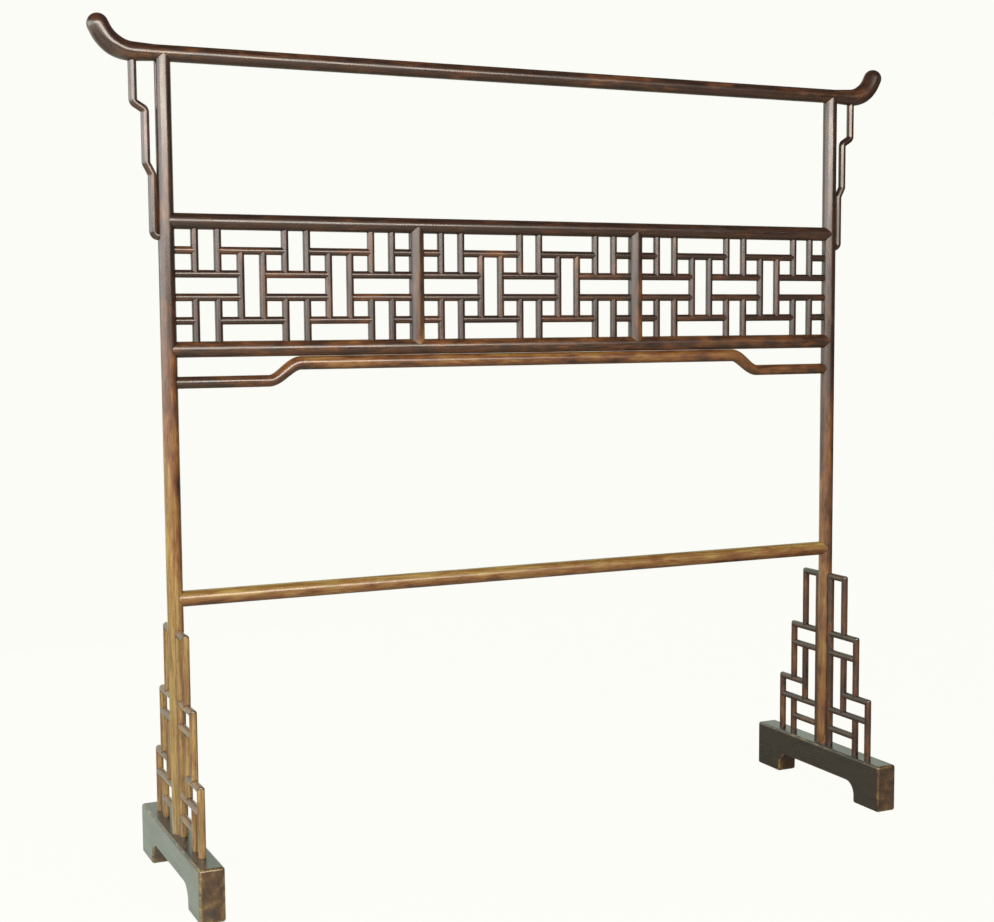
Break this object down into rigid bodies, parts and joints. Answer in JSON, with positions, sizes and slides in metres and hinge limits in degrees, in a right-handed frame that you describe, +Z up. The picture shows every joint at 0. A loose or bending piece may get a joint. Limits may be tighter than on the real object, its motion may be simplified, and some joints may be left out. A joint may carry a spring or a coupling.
{
  "type": "kimono stand",
  "caption": "Freestanding wooden rack for draping a kimono or robe: round posts on block feet, crest rail with upturned ends, pierced lattice panel, humpback stretcher, stepped spandrels.",
  "frame": {"origin": "on the floor, midway between the two feet and the two posts", "axes": "+X along the rack from the left post to the right one as seen from the front, +Y to the back, +Z up"},
  "size_m": [1.889, 0.486, 1.7412],
  "materials": {
    "frame": "satin dark brown lacquer, rubbed through to amber on the edges",
    "lattice": "satin dark brown lacquer",
    "foot": "worn dark brown lacquer"
  },
  "bodies": {
    "root": {"crest_rail": "frame", "panel_upper_rail": "frame", "panel_lower_rail": "frame", "humpback_stretcher": "frame", "bottom_stretcher": "frame", "panel_left_stile": "frame", "panel_right_stile": "frame", "left_post": "frame", "right_post": "frame", "left_foot": "foot", "left_hanging_spandrel": "lattice", "left_front_spandrel_top_frame": "lattice", "left_front_spandrel_middle_frame": "lattice", "left_front_spandrel_outer_frame": "lattice", "left_front_spandrel_base_rung": "lattice", "left_rear_spandrel_top_frame": "lattice", "left_rear_spandrel_middle_frame": "lattice", "left_rear_spandrel_outer_frame": "lattice", "left_rear_spandrel_base_rung": "lattice", "right_foot": "foot", "right_hanging_spandrel": "lattice", "right_front_spandrel_top_frame": "lattice", "right_front_spandrel_middle_frame": "lattice", "right_front_spandrel_outer_frame": "lattice", "right_front_spandrel_base_rung": "lattice", "right_rear_spandrel_top_frame": "lattice", "right_rear_spandrel_middle_frame": "lattice", "right_rear_spandrel_outer_frame": "lattice", "right_rear_spandrel_base_rung": "lattice", "left_lattice_left_ring": "lattice", "left_lattice_right_ring": "lattice", "left_lattice_upper_left_corner": "lattice", "left_lattice_lower_left_corner": "lattice", "left_lattice_upper_centre": "lattice", "left_lattice_lower_centre": "lattice", "left_lattice_upper_right_corner": "lattice", "left_lattice_lower_right_corner": "lattice", "middle_lattice_left_ring": "lattice", "middle_lattice_right_ring": "lattice", "middle_lattice_upper_left_corner": "lattice", "middle_lattice_lower_left_corner": "lattice", "middle_lattice_upper_centre": "lattice", "middle_lattice_lower_centre": "lattice", "middle_lattice_upper_right_corner": "lattice", "middle_lattice_lower_right_corner": "lattice", "right_lattice_left_ring": "lattice", "right_lattice_right_ring": "lattice", "right_lattice_upper_left_corner": "lattice", "right_lattice_lower_left_corner": "lattice", "right_lattice_upper_centre": "lattice", "right_lattice_lower_centre": "lattice", "right_lattice_upper_right_corner": "lattice", "right_lattice_lower_right_corner": "lattice"}
  },
  "joints": []
}
